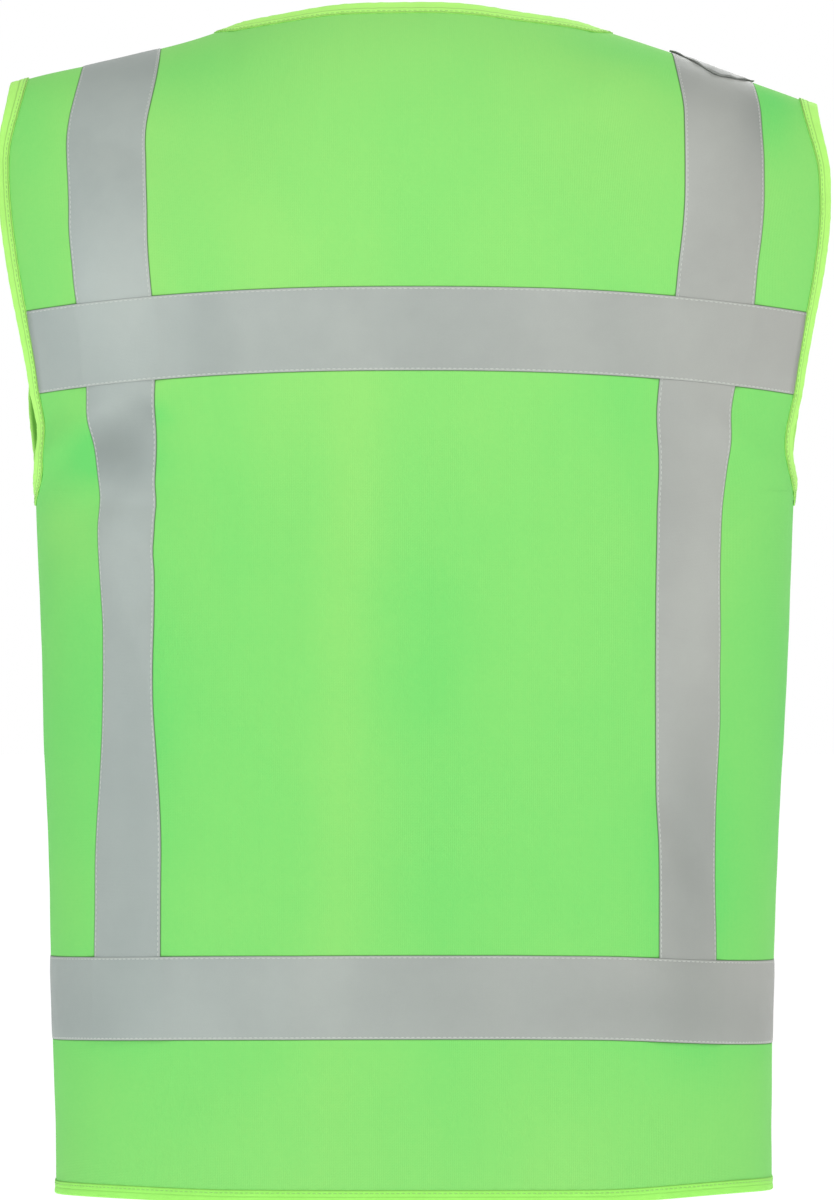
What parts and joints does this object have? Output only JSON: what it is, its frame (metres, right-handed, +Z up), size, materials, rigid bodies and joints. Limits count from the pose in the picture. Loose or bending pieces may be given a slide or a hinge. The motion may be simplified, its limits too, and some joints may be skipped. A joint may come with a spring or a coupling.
{
  "type": "high visibility vest",
  "caption": "Sleeveless high visibility vest with a front zip, bound edges and reflective tape round the body and over the shoulders.",
  "frame": {"origin": "middle of the neck opening, at the height of the neck's side points, where the vest rests on the shoulders", "axes": "+Z up, the wearer faces -Y, +X is the wearer's left"},
  "size_m": [0.4786, 0.2692, 0.6868],
  "materials": {
    "cloth": "matt fluorescent green knitted polyester",
    "tape": "grey glass bead retroreflective tape",
    "binding": "yellow green woven edge binding",
    "hem": "yellow green stitched hem",
    "zip_tape": "woven green zip tape",
    "zip_plastic": "moulded green plastic",
    "label": "blank white woven label"
  },
  "bodies": {
    "vest": {"back_panel": "cloth", "front_panel_left": "cloth", "front_panel_right": "cloth", "back_brace_tape_left": "tape", "back_brace_tape_right": "tape", "back_chest_tape": "tape", "back_waist_tape": "tape", "front_brace_tape_left": "tape", "front_chest_tape_left": "tape", "front_waist_tape_left": "tape", "front_brace_tape_right": "tape", "front_chest_tape_right": "tape", "front_waist_tape_right": "tape", "armhole_binding_left": "binding", "armhole_binding_right": "binding", "hem_binding": "hem", "neck_binding": "binding", "zip_tape_left": "zip_tape", "zip_tape_right": "zip_tape", "zip_teeth_left": "zip_plastic", "zip_teeth_right": "zip_plastic", "zip_top_stop_left": "zip_plastic", "zip_top_stop_right": "zip_plastic", "zip_retainer_box": "zip_plastic", "zip_insertion_pin": "zip_plastic", "neck_label": "label", "hanger_loop": "binding"},
    "slider": {"zip_slider": "zip_plastic", "zip_slider_bail": "zip_plastic"},
    "pull": {"zip_pull": "zip_plastic"}
  },
  "joints": [
    {"name": "zip_slide", "type": "slide", "parent": "vest", "child": "slider", "axis": [0, 0, 1], "range_m": [-0.503, 0]},
    {"name": "pull_hinge", "type": "hinge", "parent": "slider", "child": "pull", "pos_m": [0, -0.1342, -0.14735], "axis": [-1, 0, 0], "range_deg": [0, 150]}
  ]
}
